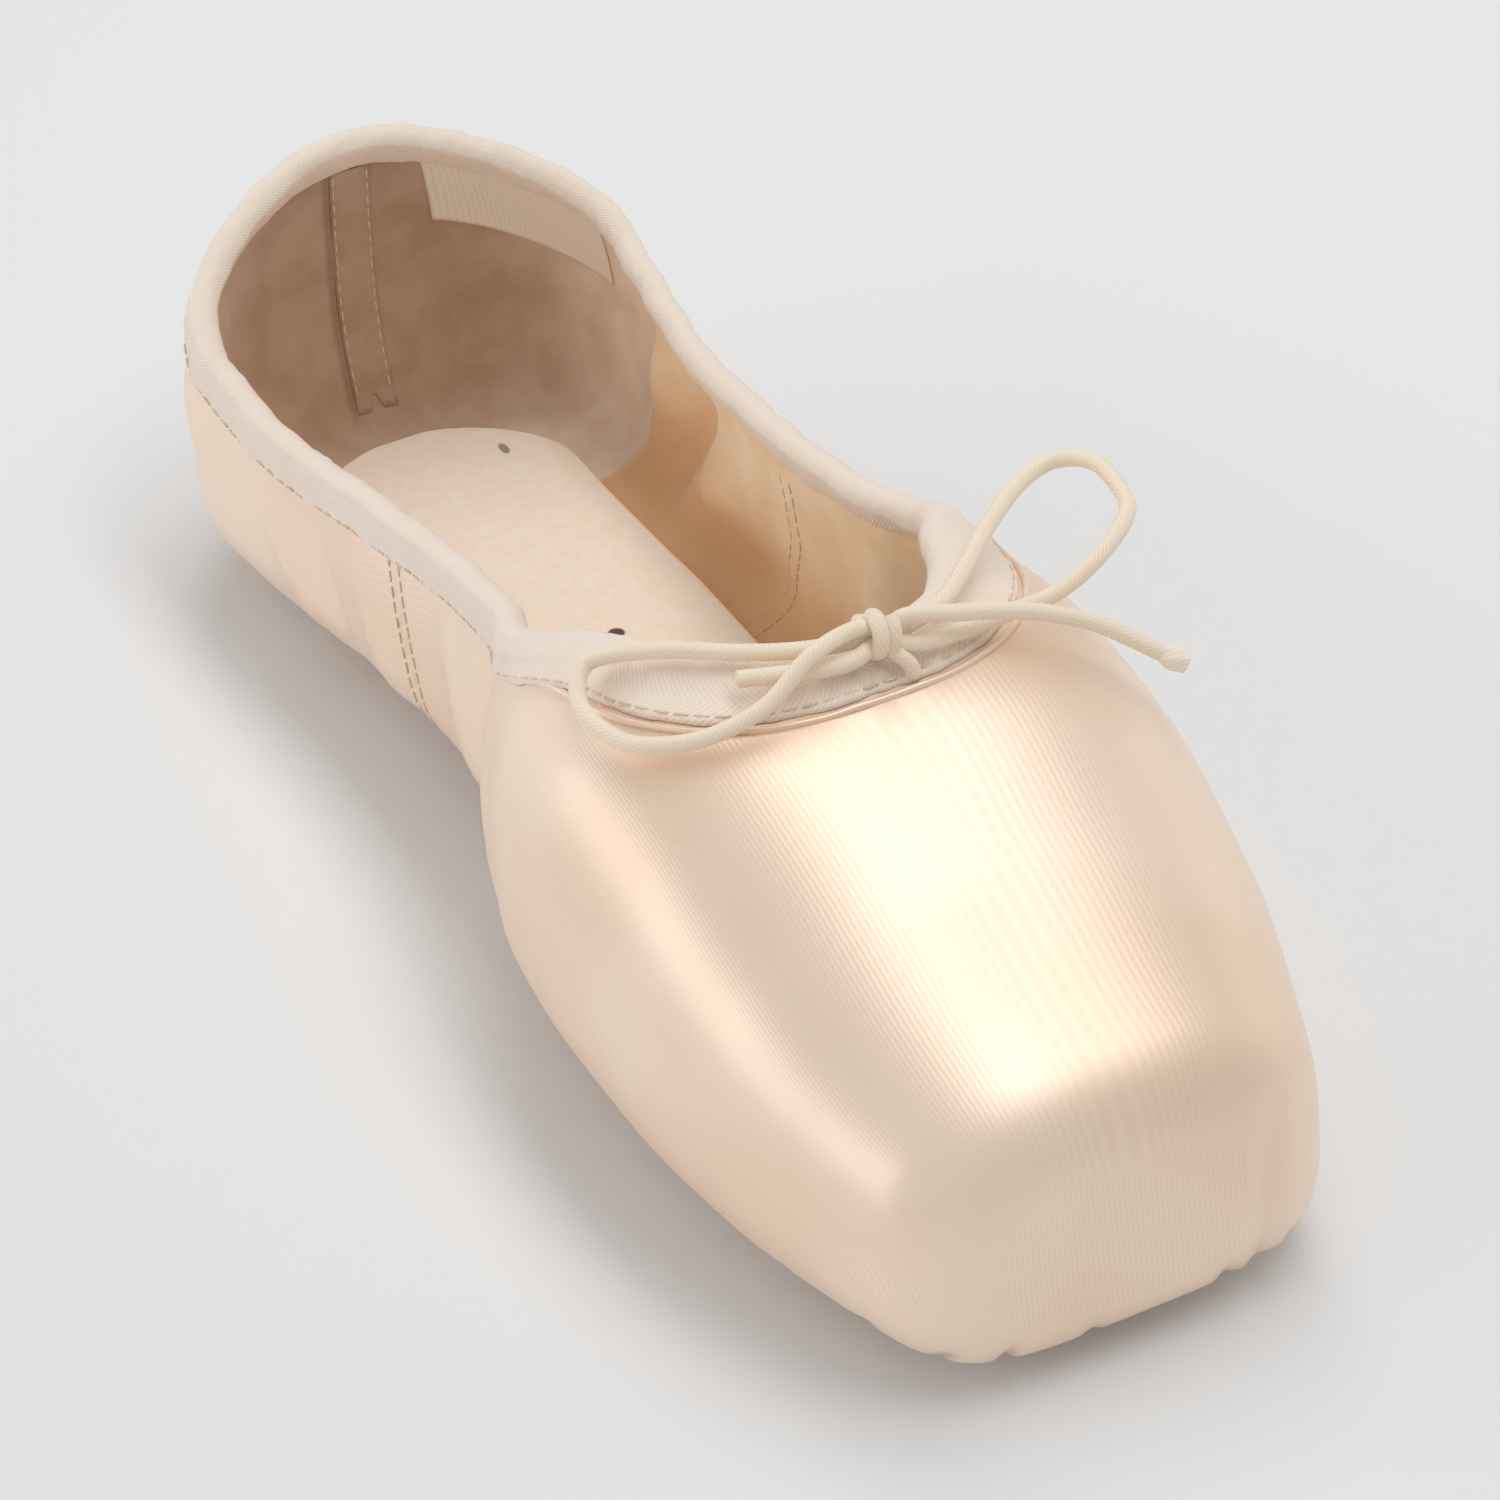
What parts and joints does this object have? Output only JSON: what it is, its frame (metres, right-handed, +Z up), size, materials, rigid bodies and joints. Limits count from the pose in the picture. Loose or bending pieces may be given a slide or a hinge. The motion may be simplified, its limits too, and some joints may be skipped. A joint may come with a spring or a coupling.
{
  "type": "pointe shoe",
  "caption": "Pale peach satin pointe shoe on a straight last, with a flat toe platform, a bound collar and a drawstring tied in a bow at the throat.",
  "frame": {"origin": "on the floor, under the middle of the shoe's box, the drawstring left out", "axes": "+X towards the toe, +Y to the wearer's left, +Z up"},
  "size_m": [0.2368, 0.0852, 0.0671],
  "materials": {
    "satin": "glossy woven satin",
    "twill": "matte twill tape",
    "outsole_leather": "matte suede-side leather",
    "insole_board": "matte brushed",
    "cord": "matte braided"
  },
  "bodies": {
    "root": {"upper": "satin", "collar_binding": "twill", "outsole": "outsole_leather", "insole": "insole_board", "drawstring_knot": "cord", "drawstring_loop_left": "cord", "drawstring_loop_right": "cord", "drawstring_end_long": "cord", "drawstring_end_short": "cord"}
  },
  "joints": []
}
